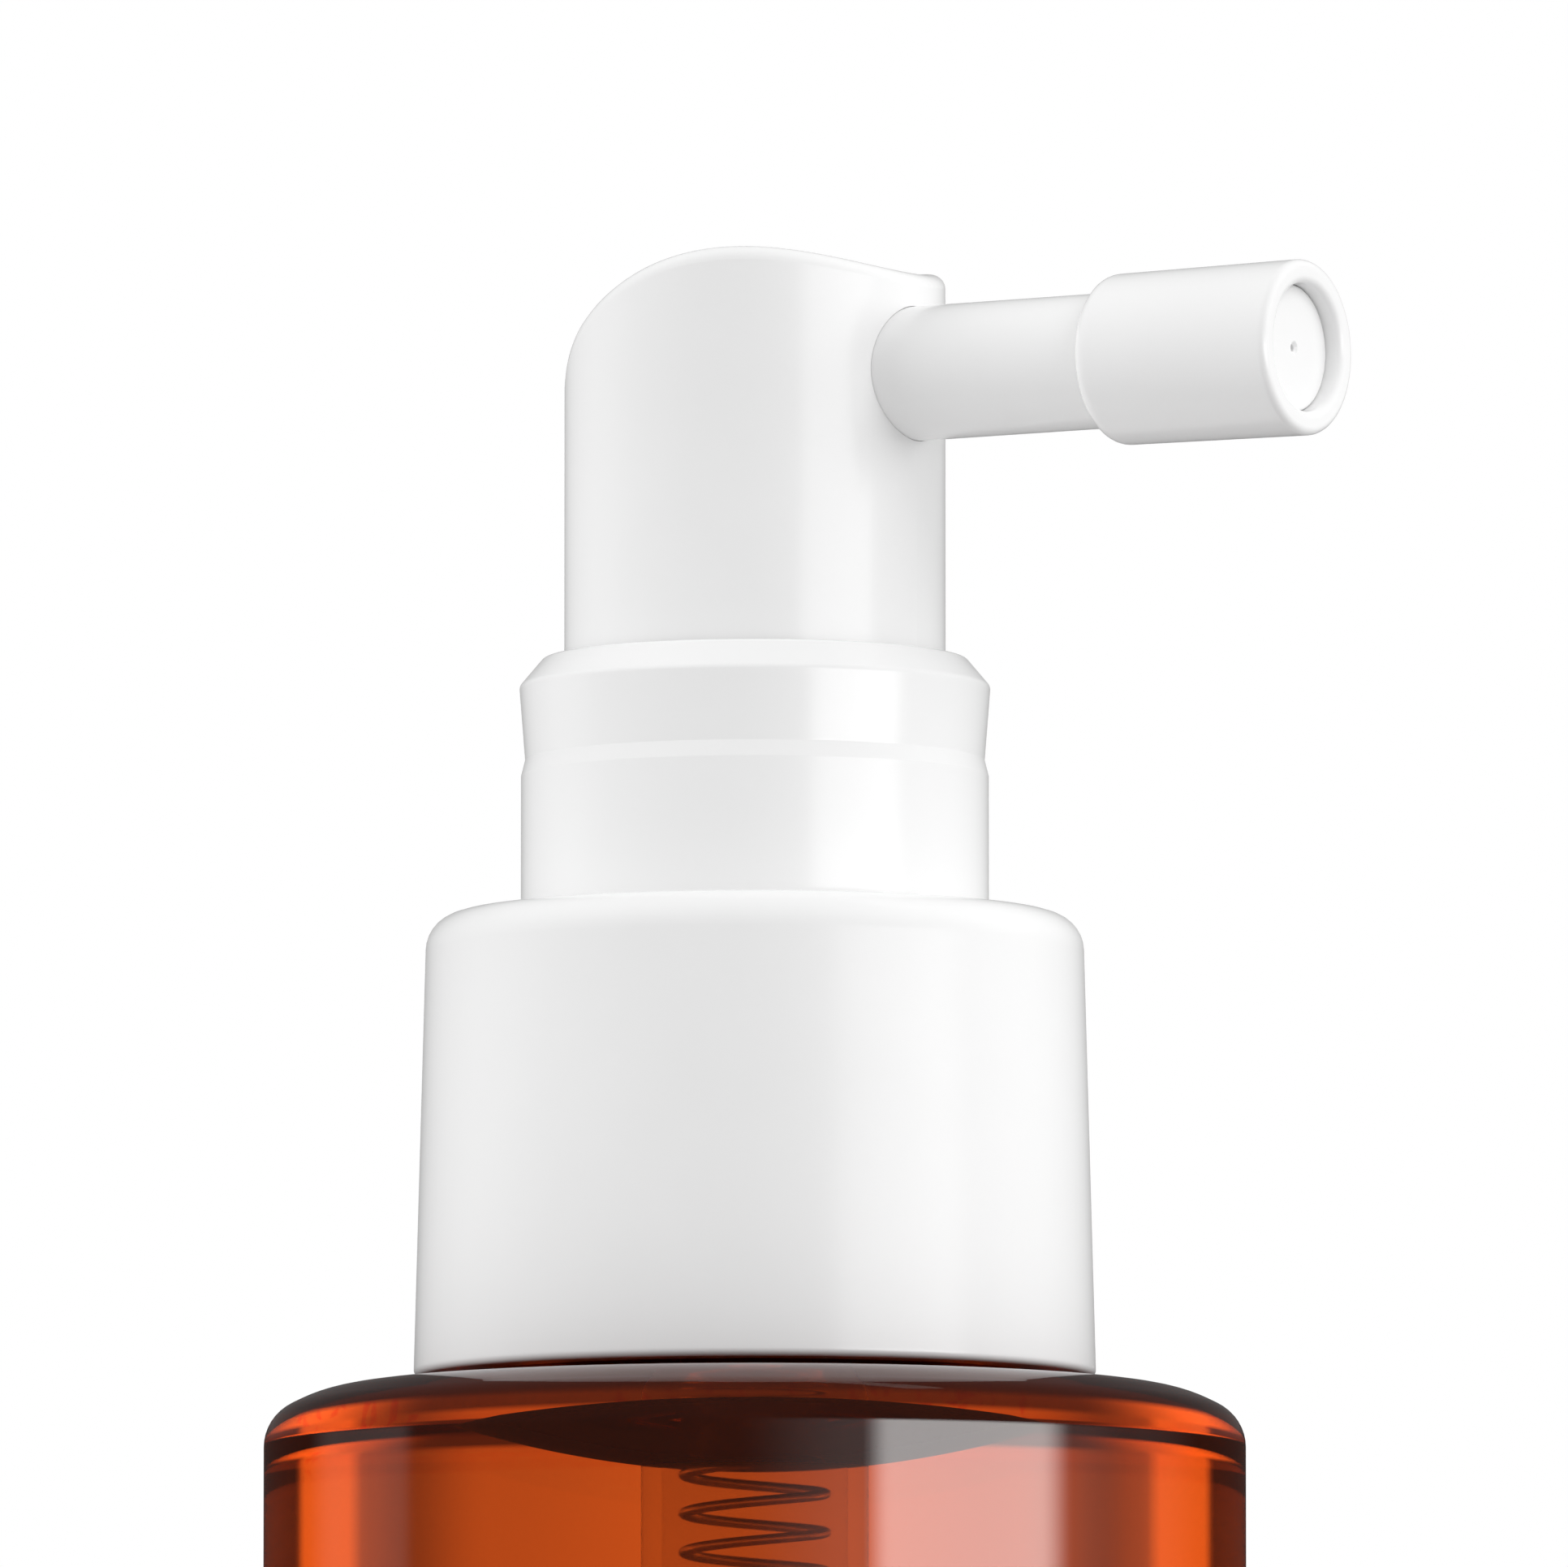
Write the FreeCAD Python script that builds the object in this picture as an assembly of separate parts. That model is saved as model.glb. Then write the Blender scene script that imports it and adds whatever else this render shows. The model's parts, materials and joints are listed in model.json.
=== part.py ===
import FreeCAD, Part
import math
import os

# Amber bottle with a screw-on finger pump and a long sideways spray nozzle, as it comes apart on a bench.
# Millimetres, +Z up, origin at the middle of the bottle's foot, nozzle along +X, everything at rest.
# Names ending in _z are heights above the foot, names ending in _x are distances along the nozzle.

# Bottle body
bottle_radius = 20.2
bottle_wall = 1.65
shoulder_z = 105.55
shoulder_wall = 1.9
shoulder_slope_run = 2.6
shoulder_slope_drop = 1.25
shoulder_crown_round = 5.8
shoulder_corner_round = 1.9
heel_round = 2.8
floor_wall = 2.6
foot_ring_width = 2.6
push_up_height = 1.6

# Bottle neck
neck_radius = 10.75
neck_wall = 2.25
neck_height = 16.35
neck_root_round = 0.8
neck_rim_round = 0.45

# Screw collar with its upright guide
collar_gap = 0.45
collar_thread_room = 1.45
collar_wall = 1.33
collar_draft = 0.52
collar_edge_round = 1.5
collar_foot_round = 0.2
deck_wall = 1.4
guide_wall = 1.53
guide_root_round = 0.3
guide_straight = 5.73
guide_step = 0.67
guide_waist_cut = 0.17
bead_rise = 3.03
bead_stand = 0.24
bead_round = 0.3
guide_lip_rise = 1.17
guide_lip_slope = 0.99
guide_lip_round = 0.3

# Pump housing and the seals and cap at its head
gasket_wall = 0.8
flange_wall = 1.0
flange_overhang = 0.15
plug_depth = 2.8
plug_wall = 0.8
ledge_width = 0.7
socket_depth = 6.0
socket_wall = 0.9
chamber_radius = 2.5
chamber_wall = 0.62
vent_radius = 0.35
stem_gasket_wall = 0.8
deck_ledge = 1.52
turret_flange_wall = 0.8
turret_tower_wall = 1.6
turret_tower_height = 3.7

# Moving stem, piston and valve poppet
pump_stroke = 5.5
stem_radius = 1.5
stem_bore_radius = 0.75
stem_flange_reach = 0.6
stem_flange_wall = 1.1
stem_shaft_cut = 0.25
stem_port_radius = 0.35
piston_waist_height = 0.7
piston_slip = 0.6
piston_waist_cut = 0.5
piston_lip_height = 0.6
poppet_room = 0.3
poppet_wall = 1.2
poppet_pin_height = 1.2
poppet_pilot_room = 0.2
poppet_pilot_height = 1.8

# Return spring
spring_length = 16.7
spring_room = 0.4
spring_wire_radius = 0.21
spring_pitch = 1.6
spring_end_pitch = 0.9

# Inlet valve and dip tube
ball_radius = 1.0
ball_travel = 0.7
inlet_radius = 0.55
inlet_length = 1.0
nib_reach = 0.75
nib_wall = 0.4
nib_width = 0.7
nib_count = 3
tube_radius = 1.6
tube_bore_radius = 1.0
tube_socket_depth = 8.0
tube_socket_wall = 0.7
tube_foot_gap = 0.9
tube_foot_bevel = 45.0

# Actuator head
actuator_radius = 7.87
actuator_wall = 1.1
nozzle_lift = 3.13
crown_cover = 1.53
crown_lead = 9.4
crown_radius = 34.0
crown_back_round = 6.8
scoop_depth_back = 1.0
scoop_depth_front = 2.4
actuator_rim_round = 0.6
post_wall = 1.3
stem_insertion = 5.7
rib_wall = 0.8
rib_count = 4
duct_wall = 1.1

# Long nozzle, its tip sleeve and the swirl insert
nozzle_radius = 2.77
nozzle_bore_radius = 0.8
nozzle_root_x = 3.1
sleeve_start_x = 17.3
sleeve_length = 9.3
sleeve_wall = 0.73
sleeve_flare = 0.1
sleeve_rear_round = 0.68
sleeve_tip_round = 0.32
sleeve_grip = 3.9
insert_step = 0.17
insert_recess = 0.7
insert_wall = 1.0
insert_face_wall = 1.2
orifice_radius = 0.15
orifice_cone_radius = 0.5

# Clearances between pieces
running_fit = 0.05
press_fit = 0.02
loose_fit = 0.3
seat_gap = 0.05
guide_clearance = 0.25
stop_clearance = 0.6

# Radii that follow from the sizes above
push_up_radius = bottle_radius - heel_round - foot_ring_width
neck_bore_radius = neck_radius - neck_wall
plug_radius = neck_bore_radius - loose_fit
flange_radius = neck_radius + flange_overhang
collar_bore_radius = neck_radius + collar_thread_room
collar_top_radius = collar_bore_radius + collar_wall
guide_bore_radius = actuator_radius + guide_clearance
guide_radius = guide_bore_radius + guide_wall
deck_hole_radius = guide_bore_radius - deck_ledge
turret_flange_radius = deck_hole_radius - loose_fit
socket_radius = chamber_radius + ledge_width
stem_flange_radius = stem_radius + stem_flange_reach
stem_shaft_radius = stem_radius - stem_shaft_cut
stem_guide_radius = stem_radius + running_fit
turret_tower_radius = stem_guide_radius + turret_tower_wall
poppet_radius = chamber_radius - poppet_room
spring_mean_radius = chamber_radius - spring_room - spring_wire_radius
poppet_pilot_radius = spring_mean_radius - spring_wire_radius - poppet_pilot_room
pocket_radius = ball_radius + 2 * loose_fit
sleeve_rear_radius = nozzle_radius + sleeve_wall
sleeve_tip_radius = sleeve_rear_radius + sleeve_flare
insert_radius = nozzle_radius - insert_step

# Heights of the stack, worked out from the sizes above
collar_foot_z = shoulder_z + collar_gap
neck_rim_z = shoulder_z + neck_height
flange_foot_z = neck_rim_z + gasket_wall
flange_top_z = flange_foot_z + flange_wall
deck_z = flange_top_z + deck_wall
guide_step_z = deck_z + guide_straight
guide_waist_z = guide_step_z + guide_step
bead_z = guide_waist_z + bead_rise
guide_top_z = bead_z + guide_lip_rise
ledge_z = flange_top_z - socket_depth
turret_foot_z = ledge_z + stem_gasket_wall
turret_flange_z = flange_top_z + turret_flange_wall
turret_top_z = turret_flange_z + turret_tower_height
stem_flange_foot_z = ledge_z - stem_flange_wall
piston_top_z = stem_flange_foot_z - piston_slip - 2 * seat_gap
piston_foot_z = piston_top_z - piston_waist_height - 2 * (piston_lip_height + piston_waist_cut)
poppet_foot_z = piston_foot_z - poppet_wall
spring_seat_z = poppet_foot_z - spring_length
actuator_foot_z = deck_z + pump_stroke + stop_clearance
post_foot_z = turret_top_z + pump_stroke + stop_clearance
stem_top_z = post_foot_z + stem_insertion
nozzle_z = guide_top_z + pump_stroke + nozzle_radius + nozzle_lift
crown_z = nozzle_z + nozzle_radius + crown_cover

# The ball rests on a 45 degree cone and lifts until the nibs stop it
ball_z = spring_seat_z - ball_travel - ball_radius - seat_gap
cone_foot_z = ball_z - ball_radius * math.sqrt(2) + inlet_radius - seat_gap / 2
inlet_foot_z = cone_foot_z - inlet_length
tube_socket_foot_z = inlet_foot_z - tube_socket_depth
floor_top_z = floor_wall + push_up_height
tube_foot_z = floor_top_z + tube_foot_gap

# Places along the nozzle
sleeve_tip_x = sleeve_start_x + sleeve_length
sleeve_seat_x = sleeve_start_x + sleeve_grip
insert_face_x = sleeve_tip_x - insert_recess

ORIGIN = FreeCAD.Vector(0, 0, 0)
UP = FreeCAD.Vector(0, 0, 1)
ACROSS = FreeCAD.Vector(0, 1, 0)


def rounded_wire(corners):
    """A closed outline in the XZ plane through (radius, height, round) corners; a round of 0 is sharp."""
    edges = []
    count = len(corners)
    spans = []
    for index in range(count):
        before = FreeCAD.Vector(corners[index - 1][0], 0, corners[index - 1][1])
        here = FreeCAD.Vector(corners[index][0], 0, corners[index][1])
        after = FreeCAD.Vector(corners[(index + 1) % count][0], 0, corners[(index + 1) % count][1])
        radius = corners[index][2]
        back = (before - here).normalize()
        ahead = (after - here).normalize()
        if radius == 0:
            spans.append((here, None, here))
            continue
        half = back.getAngle(ahead) / 2
        reach = radius / math.tan(half)
        inward = (back + ahead).normalize()
        middle = here + inward * (radius / math.sin(half) - radius)
        spans.append((here + back * reach, middle, here + ahead * reach))
    for index in range(count):
        start, middle, end = spans[index]
        if middle is not None:
            edges.append(Part.Arc(start, middle, end).toShape())
        next_start = spans[(index + 1) % count][0]
        edges.append(Part.LineSegment(end, next_start).toShape())
    return Part.Wire(edges)


def lathe(corners):
    """A solid of revolution about the upright axis."""
    return Part.Face(rounded_wire(corners)).revolve(ORIGIN, UP, 360)


def ring(inner, outer, foot, top):
    """A plain ring, or a disc where inner is 0."""
    solid = Part.makeCylinder(outer, top - foot, FreeCAD.Vector(0, 0, foot))
    if inner > 0:
        solid = solid.cut(Part.makeCylinder(inner, top - foot, FreeCAD.Vector(0, 0, foot)))
    return solid


def along_nozzle(shape):
    """Lays a shape that was turned about Z onto the nozzle axis, with its Z along +X."""
    shape.rotate(ORIGIN, ACROSS, 90)
    shape.translate(FreeCAD.Vector(0, 0, nozzle_z))
    return shape


def bottle():
    """Thin-walled body with a rounded flat shoulder, a plain neck and a pushed-up floor."""
    slope_top = bottle_radius - shoulder_slope_run
    outside = lathe([
        (0, 0, 0),
        (bottle_radius, 0, heel_round),
        (bottle_radius, shoulder_z - shoulder_slope_drop, shoulder_corner_round),
        (slope_top, shoulder_z, shoulder_crown_round),
        (neck_radius, shoulder_z, neck_root_round),
        (neck_radius, neck_rim_z, neck_rim_round),
        (0, neck_rim_z, 0),
    ])
    inner_radius = bottle_radius - bottle_wall
    ceiling_z = shoulder_z - shoulder_wall
    cavity = lathe([
        (0, floor_wall, 0),
        (inner_radius, floor_wall, heel_round),
        (inner_radius, ceiling_z - shoulder_slope_drop, shoulder_corner_round),
        (inner_radius - shoulder_slope_run, ceiling_z, shoulder_crown_round),
        (neck_bore_radius, ceiling_z, neck_root_round),
        (neck_bore_radius, neck_rim_z, 0),
        (0, neck_rim_z, 0),
    ])
    dome_radius = (push_up_radius ** 2 + push_up_height ** 2) / (2 * push_up_height)
    dome_centre = FreeCAD.Vector(0, 0, push_up_height - dome_radius)
    outside = outside.cut(Part.makeSphere(dome_radius, dome_centre))
    cavity = cavity.cut(Part.makeSphere(dome_radius + floor_wall, dome_centre))
    shell = outside.cut(cavity)
    rim = [
        edge for edge in shell.Edges
        if abs(edge.BoundBox.ZMin - neck_rim_z) < 0.001 and abs(edge.BoundBox.XMax - neck_bore_radius) < 0.001
    ]
    return shell.makeFillet(neck_rim_round, rim)


def screw_collar():
    """Smooth drafted skirt, flat deck and the upright guide with its bead, in one moulding."""
    waist = guide_radius - guide_waist_cut
    bead = waist + bead_stand
    return lathe([
        (collar_top_radius + collar_draft, collar_foot_z, collar_foot_round),
        (collar_top_radius, deck_z, collar_edge_round),
        (guide_radius, deck_z, guide_root_round),
        (guide_radius, guide_step_z, 0),
        (waist, guide_waist_z, 0),
        (bead, bead_z, bead_round),
        (bead - guide_lip_slope, guide_top_z, guide_lip_round),
        (guide_bore_radius, guide_top_z, collar_foot_round),
        (guide_bore_radius, deck_z, 0),
        (deck_hole_radius, deck_z, 0),
        (deck_hole_radius, flange_top_z, 0),
        (collar_bore_radius, flange_top_z, collar_foot_round),
        (collar_bore_radius, collar_foot_z, collar_foot_round),
    ])


def neck_gasket():
    """Flat soft washer between the bottle's rim and the housing's flange."""
    return ring(plug_radius + running_fit, neck_radius, neck_rim_z, flange_foot_z)


def pump_housing():
    """Flanged chamber with a head socket, an air vent, a ball pocket with nibs and a tail for the dip tube."""
    socket_outer = socket_radius + socket_wall
    chamber_outer = chamber_radius + chamber_wall
    tail_outer = tube_radius + press_fit + tube_socket_wall
    taper_top_z = cone_foot_z + pocket_radius
    body = lathe([
        (chamber_radius, ledge_z, 0),
        (socket_radius, ledge_z, 0),
        (socket_radius, flange_top_z, 0),
        (flange_radius, flange_top_z, 0),
        (flange_radius, flange_foot_z, 0),
        (socket_outer, flange_foot_z, 0),
        (socket_outer, ledge_z, 0),
        (chamber_outer, ledge_z - socket_wall, 0),
        (chamber_outer, taper_top_z, chamber_wall),
        (tail_outer, inlet_foot_z, chamber_wall),
        (tail_outer, tube_socket_foot_z, 0),
        (tube_radius + press_fit, tube_socket_foot_z, 0),
        (tube_radius + press_fit, inlet_foot_z, 0),
        (inlet_radius, inlet_foot_z, 0),
        (inlet_radius, cone_foot_z, 0),
        (pocket_radius, cone_foot_z + pocket_radius - inlet_radius, 0),
        (pocket_radius, spring_seat_z, 0),
        (chamber_radius, spring_seat_z, 0),
    ])
    vent_start = FreeCAD.Vector(0, 0, (piston_top_z + ledge_z) / 2)
    body = body.cut(Part.makeCylinder(vent_radius, socket_outer, vent_start, ACROSS))
    plug = ring(plug_radius - plug_wall, plug_radius, flange_foot_z - plug_depth, flange_foot_z)
    body = body.fuse(plug)
    nib = Part.makeBox(nib_reach + socket_wall, nib_width, nib_wall)
    nib.translate(FreeCAD.Vector(pocket_radius - nib_reach, -nib_width / 2, spring_seat_z - nib_wall))
    pocket_wall = ring(0, pocket_radius + socket_wall, spring_seat_z - nib_wall, spring_seat_z)
    nib = nib.common(pocket_wall)
    for index in range(nib_count):
        copy = nib.copy()
        copy.rotate(ORIGIN, UP, 360 * index / nib_count)
        body = body.fuse(copy)
    return body.removeSplitter()


def stem_gasket():
    """Soft washer on the housing's ledge that seals round the stem when the pump is up."""
    return ring(stem_radius + 2 * running_fit, socket_radius - running_fit, ledge_z, turret_foot_z)


def turret():
    """Snap-in cap that closes the housing, guides the stem and holds it down against the spring."""
    return lathe([
        (stem_guide_radius, turret_foot_z, 0),
        (socket_radius - press_fit, turret_foot_z, 0),
        (socket_radius - press_fit, flange_top_z, 0),
        (turret_flange_radius, flange_top_z, 0),
        (turret_flange_radius, turret_flange_z, loose_fit),
        (turret_tower_radius, turret_flange_z, loose_fit),
        (turret_tower_radius, turret_top_z, loose_fit),
        (stem_guide_radius, turret_top_z, 0),
    ])


def stem():
    """Hollow stem with a stop flange, and cross ports that the piston covers at rest."""
    port_z = piston_foot_z + poppet_pin_height + 2 * stem_port_radius
    tube = lathe([
        (stem_bore_radius, piston_foot_z, 0),
        (stem_shaft_radius, piston_foot_z, 0),
        (stem_shaft_radius, stem_flange_foot_z, 0),
        (stem_flange_radius, stem_flange_foot_z, 0),
        (stem_flange_radius, ledge_z, 0),
        (stem_radius, ledge_z, 0),
        (stem_radius, stem_top_z, loose_fit),
        (stem_bore_radius, stem_top_z, 0),
    ])
    port_start = FreeCAD.Vector(0, -stem_flange_radius, port_z)
    return tube.cut(Part.makeCylinder(stem_port_radius, 2 * stem_flange_radius, port_start, ACROSS))


def piston():
    """Sliding seal with a flared lip at each end, loose on the stem by its opening slip."""
    lip = chamber_radius - press_fit
    waist = lip - piston_waist_cut
    bore = stem_shaft_radius + running_fit
    return lathe([
        (bore, piston_foot_z, 0),
        (lip, piston_foot_z, 0),
        (lip, piston_foot_z + piston_lip_height, 0),
        (waist, piston_foot_z + piston_lip_height + piston_waist_cut, 0),
        (waist, piston_top_z - piston_lip_height - piston_waist_cut, 0),
        (lip, piston_top_z - piston_lip_height, 0),
        (lip, piston_top_z, 0),
        (bore, piston_top_z, 0),
    ])


def valve_poppet():
    """Headed plug pressed into the stem's lower end; the piston closes on it and the spring lifts it."""
    return lathe([
        (0, poppet_foot_z - poppet_pilot_height, 0),
        (poppet_pilot_radius, poppet_foot_z - poppet_pilot_height, loose_fit),
        (poppet_pilot_radius, poppet_foot_z, 0),
        (poppet_radius, poppet_foot_z, 0),
        (poppet_radius, piston_foot_z, 0),
        (stem_bore_radius - press_fit, piston_foot_z, 0),
        (stem_bore_radius - press_fit, piston_foot_z + poppet_pin_height, 0),
        (0, piston_foot_z + poppet_pin_height, 0),
    ])


def arc_leaving(start, direction, end):
    """The arc from start to end that leaves start along direction."""
    chord = end - start
    angle = chord.getAngle(direction)
    side = (direction - chord * (direction.dot(chord) / chord.dot(chord))).normalize()
    middle = (start + end) * 0.5 + side * (chord.Length / 2 * math.tan(angle / 2))
    return Part.Arc(start, middle, end).toShape()


def biarc(start, start_way, end, end_way):
    """Two arcs in space that join start to end and keep both directions."""
    span = end - start
    ways = start_way + end_way
    spread = 2 * (1 - start_way.dot(end_way))
    along = span.dot(ways)
    reach = (math.sqrt(along ** 2 + spread * span.dot(span)) - along) / spread
    joint = (start + start_way * reach + end - end_way * reach) * 0.5
    first = arc_leaving(start, start_way, joint)
    second = arc_leaving(end, end_way * -1, joint)
    return [first, second]


def pitch_at(from_end, easing):
    """Pitch at a number of turns from the nearer end: close for one turn, opening over the second."""
    return spring_end_pitch + easing * min(1, max(0, from_end - 1))


def climb_of(from_end, easing):
    """Height climbed from the nearer end, the sum of pitch_at up to that turn."""
    opened = max(0, from_end - 1)
    ramp = opened ** 2 / 2 if opened <= 1 else opened - 0.5
    return spring_end_pitch * from_end + easing * ramp


def spring_points(per_turn):
    """Points and directions up the coil; the two ends share three turns at the close pitch."""
    close_turns = 3
    first_z = spring_seat_z + seat_gap + spring_wire_radius
    rise = spring_length - 2 * (seat_gap + spring_wire_radius)
    open_rise = rise - close_turns * spring_end_pitch
    open_turns = round(open_rise / spring_pitch * 4) / 4
    turns = open_turns + close_turns
    easing = open_rise / open_turns - spring_end_pitch
    points = []
    for step in range(int(turns * per_turn) + 1):
        turn = step / per_turn
        from_end = min(turn, turns - turn)
        climb = climb_of(from_end, easing)
        angle = 2 * math.pi * turn
        outward = FreeCAD.Vector(math.cos(angle), math.sin(angle), 0)
        place = outward * spring_mean_radius
        place.z = first_z + (climb if turn <= turns / 2 else rise - climb)
        way = UP.cross(outward) * (2 * math.pi * spring_mean_radius)
        way.z = pitch_at(from_end, easing)
        points.append((place, way.normalize()))
    return points


def return_spring():
    """Round-wire compression spring, one unbroken tube on quarter-turn biarcs."""
    stations = spring_points(4)
    edges = []
    for (start, start_way), (end, end_way) in zip(stations, stations[1:]):
        edges += biarc(start, start_way, end, end_way)
    spine = Part.Wire(Part.__sortEdges__(edges))
    first, first_way = stations[0]
    section = Part.Wire(Part.makeCircle(spring_wire_radius, first, first_way))
    sweep = Part.BRepOffsetAPI.MakePipeShell(spine)
    sweep.add(section)
    sweep.build()
    sweep.makeSolid()
    fine = [place for place, way in spring_points(24)]
    gap = min(
        (fine[one] - fine[two]).Length
        for one in range(len(fine))
        for two in range(one + 12, len(fine))
    ) - 2 * spring_wire_radius
    print("spring turns", (len(stations) - 1) / 4, "least gap to itself", round(gap, 3))
    return sweep.shape()


def inlet_ball():
    """Loose check ball that closes the inlet on its cone."""
    return Part.makeSphere(ball_radius, FreeCAD.Vector(0, 0, ball_z))


def dip_tube():
    """Straight soft tube from the housing's tail to just over the floor, cut on a slant at its foot."""
    tube = ring(tube_bore_radius, tube_radius, tube_foot_z, inlet_foot_z)
    wedge = Part.makeBox(4 * tube_radius, 4 * tube_radius, 4 * tube_radius)
    wedge.translate(FreeCAD.Vector(-2 * tube_radius, -2 * tube_radius, -4 * tube_radius))
    wedge.rotate(ORIGIN, ACROSS, tube_foot_bevel)
    wedge.translate(FreeCAD.Vector(-tube_radius, 0, tube_foot_z))
    return tube.cut(wedge)


def crown_cutter(radius, drop):
    """What the sculpted top takes off: a hollow-faced section carried up the back and over the top."""
    wall_x = -radius - seat_gap
    corner = crown_back_round - (actuator_radius - radius)
    peak = FreeCAD.Vector(crown_lead, 0, crown_z - drop)
    crown_centre = FreeCAD.Vector(crown_lead, 0, peak.z - crown_radius)
    corner_x = wall_x + corner
    reach = crown_radius - corner
    corner_z = crown_centre.z + math.sqrt(reach ** 2 - (crown_lead - corner_x) ** 2)
    corner_centre = FreeCAD.Vector(corner_x, 0, corner_z)
    outward = (corner_centre - crown_centre).normalize()
    meet = crown_centre + outward * crown_radius
    start = FreeCAD.Vector(wall_x, 0, corner_z - corner)
    bend = FreeCAD.Vector(wall_x, 0, corner_z)
    bend_way = (outward - FreeCAD.Vector(1, 0, 0)).normalize()
    crown_way = (outward + UP).normalize()
    finish = peak + FreeCAD.Vector(crown_lead, 0, 0)
    spine = Part.Wire([
        Part.LineSegment(start, bend).toShape(),
        Part.Arc(bend, corner_centre + bend_way * corner, meet).toShape(),
        Part.Arc(meet, crown_centre + crown_way * crown_radius, peak).toShape(),
        Part.LineSegment(peak, finish).toShape(),
    ])
    sweep = Part.BRepOffsetAPI.MakePipeShell(spine)
    sweep.add(scoop_section(start, FreeCAD.Vector(-1, 0, 0), scoop_depth_back))
    sweep.add(scoop_section(finish, UP, scoop_depth_front))
    sweep.build()
    sweep.makeSolid()
    return sweep.shape()


def scoop_section(place, outward, depth):
    """Closed section of the cutter: an arc that sags by depth over the actuator's width, closed outwards."""
    half = actuator_radius + stop_clearance
    edge = depth * (half / actuator_radius) ** 2
    far = crown_back_round + depth
    left = place - ACROSS * half + outward * edge
    right = place + ACROSS * half + outward * edge
    left_far = place - ACROSS * half + outward * far
    right_far = place + ACROSS * half + outward * far
    return Part.Wire([
        Part.Arc(left, place, right).toShape(),
        Part.LineSegment(right, right_far).toShape(),
        Part.LineSegment(right_far, left_far).toShape(),
        Part.LineSegment(left_far, left).toShape(),
    ])


def actuator():
    """Domed finger head: a shell with a hollowed top, a socket post for the stem, ribs and a nozzle duct."""
    blank_top_z = crown_z + scoop_depth_front
    shell = ring(0, actuator_radius, actuator_foot_z, blank_top_z).cut(crown_cutter(actuator_radius, 0))
    rim = [
        edge for edge in shell.Edges
        if edge.BoundBox.ZMax > nozzle_z and edge.BoundBox.XLength > actuator_radius
    ]
    shell = shell.makeFillet(actuator_rim_round, rim)
    inner_radius = actuator_radius - actuator_wall
    hollow = ring(0, inner_radius, actuator_foot_z, blank_top_z)
    hollow = hollow.cut(crown_cutter(inner_radius, actuator_wall))
    post_radius = stem_guide_radius + post_wall
    post = ring(0, post_radius, post_foot_z, blank_top_z)
    duct_radius = nozzle_radius + press_fit + duct_wall
    duct = along_nozzle(ring(0, duct_radius, 0, actuator_radius))
    core = post.fuse(duct)
    for index in range(rib_count):
        rib = Part.makeBox(inner_radius, rib_wall, blank_top_z - stem_top_z)
        rib.translate(FreeCAD.Vector(0, -rib_wall / 2, stem_top_z))
        rib.rotate(ORIGIN, UP, 360 * (index + 0.5) / rib_count)
        core = core.fuse(rib)
    shell = shell.cut(hollow.cut(core))
    socket = ring(0, stem_guide_radius, post_foot_z, stem_top_z + seat_gap)
    riser = ring(0, nozzle_bore_radius, stem_top_z, nozzle_z)
    feed = along_nozzle(ring(0, nozzle_bore_radius, 0, nozzle_root_x))
    seat = along_nozzle(ring(0, nozzle_radius + press_fit, nozzle_root_x, 2 * actuator_radius))
    return shell.cut(socket).cut(riser).cut(feed).cut(seat).removeSplitter()


def nozzle_tube():
    """Straight tube pressed into the actuator's duct at one end and into the tip sleeve at the other."""
    return along_nozzle(ring(nozzle_bore_radius, nozzle_radius, nozzle_root_x, sleeve_seat_x))


def nozzle_sleeve():
    """Wider tip: rounded at the back, a little larger to the front, with a recess for the insert."""
    grip = nozzle_radius + press_fit
    seat = insert_radius + press_fit
    return along_nozzle(lathe([
        (grip, sleeve_start_x, 0),
        (sleeve_rear_radius, sleeve_start_x, sleeve_rear_round),
        (sleeve_tip_radius, sleeve_tip_x, sleeve_tip_round),
        (seat, sleeve_tip_x, sleeve_tip_round),
        (seat, sleeve_seat_x, 0),
        (grip, sleeve_seat_x, 0),
    ]))


def swirl_insert():
    """Cup in the nozzle's tip with a thick face and a fine orifice in a small cone."""
    back_x = sleeve_seat_x + seat_gap
    inner_x = insert_face_x - insert_face_wall
    cone_x = insert_face_x - (orifice_cone_radius - orifice_radius)
    return along_nozzle(lathe([
        (insert_radius - insert_wall, back_x, 0),
        (insert_radius, back_x, 0),
        (insert_radius, insert_face_x, orifice_radius),
        (orifice_cone_radius, insert_face_x, 0),
        (orifice_radius, cone_x, 0),
        (orifice_radius, inner_x, 0),
        (insert_radius - insert_wall, inner_x, 0),
    ]))


PIECES = [
    bottle,
    screw_collar,
    neck_gasket,
    pump_housing,
    stem_gasket,
    turret,
    stem,
    piston,
    valve_poppet,
    return_spring,
    inlet_ball,
    dip_tube,
    actuator,
    nozzle_tube,
    nozzle_sleeve,
    swirl_insert,
]

os.makedirs("parts", exist_ok=True)
for piece in PIECES:
    solid = piece()
    print(piece.__name__, len(solid.Solids), solid.isValid(), round(solid.Volume, 2))
    solid.exportStep("parts/" + piece.__name__ + ".step")
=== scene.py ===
"""Looks of a round amber oil bottle with a white screw-on finger pump and a long sideways nozzle."""

import json
import math

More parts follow.
